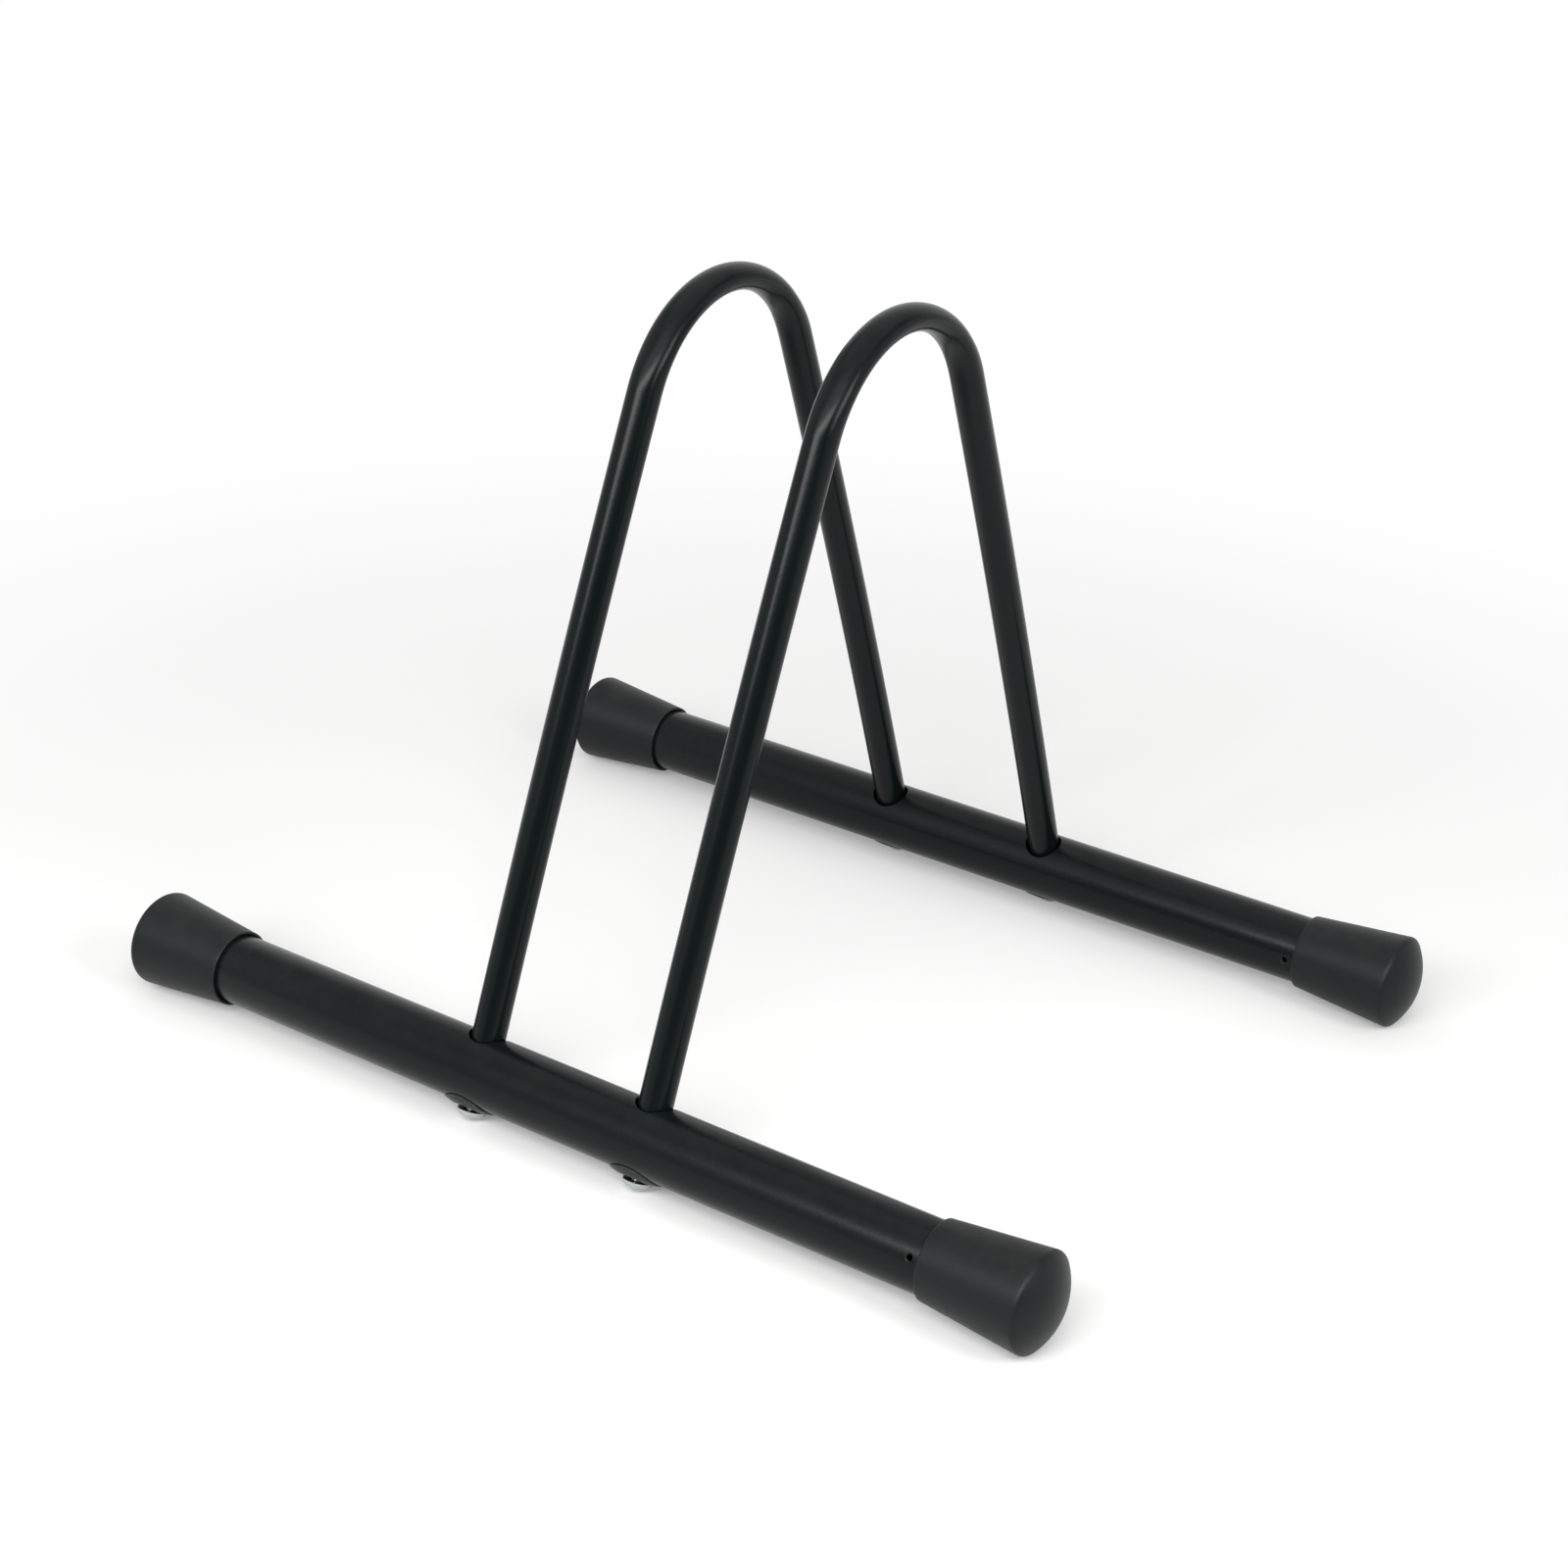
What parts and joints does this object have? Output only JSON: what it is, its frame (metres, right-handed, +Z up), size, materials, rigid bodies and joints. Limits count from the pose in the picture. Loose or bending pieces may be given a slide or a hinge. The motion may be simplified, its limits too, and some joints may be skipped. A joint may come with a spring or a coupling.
{
  "type": "floor bike rack",
  "caption": "Low floor rack that holds one bicycle by a wheel: two bent tube hoops stand on two base tubes with flared rubber ferrules.",
  "frame": {"origin": "on the floor, in the middle of the rack, half way between the base tubes and between the hoops", "axes": "+X along the base tubes to the right, +Y from the front base tube to the rear one, the way a wheel rolls in, +Z up"},
  "size_m": [0.39, 0.2954, 0.2747],
  "materials": {
    "powder_coat": "satin black powder coat",
    "ferrule_rubber": "matte black moulded rubber",
    "zinc_plate": "bright zinc plate",
    "black_washer": "black finished steel",
    "insert_steel": "plain turned steel, zinc plated"
  },
  "bodies": {
    "root": {"base_tube_front": "powder_coat", "base_tube_rear": "powder_coat", "hoop_left": "powder_coat", "hoop_right": "powder_coat", "ferrule_front_left": "ferrule_rubber", "ferrule_front_right": "ferrule_rubber", "ferrule_rear_left": "ferrule_rubber", "ferrule_rear_right": "ferrule_rubber", "hoop_screw_front_left": "zinc_plate", "hoop_screw_front_right": "zinc_plate", "hoop_screw_rear_left": "zinc_plate", "hoop_screw_rear_right": "zinc_plate", "arc_washer_front_left": "black_washer", "arc_washer_front_right": "black_washer", "arc_washer_rear_left": "black_washer", "arc_washer_rear_right": "black_washer", "threaded_insert_front_left": "insert_steel", "threaded_insert_front_right": "insert_steel", "threaded_insert_rear_left": "insert_steel", "threaded_insert_rear_right": "insert_steel"}
  },
  "joints": []
}
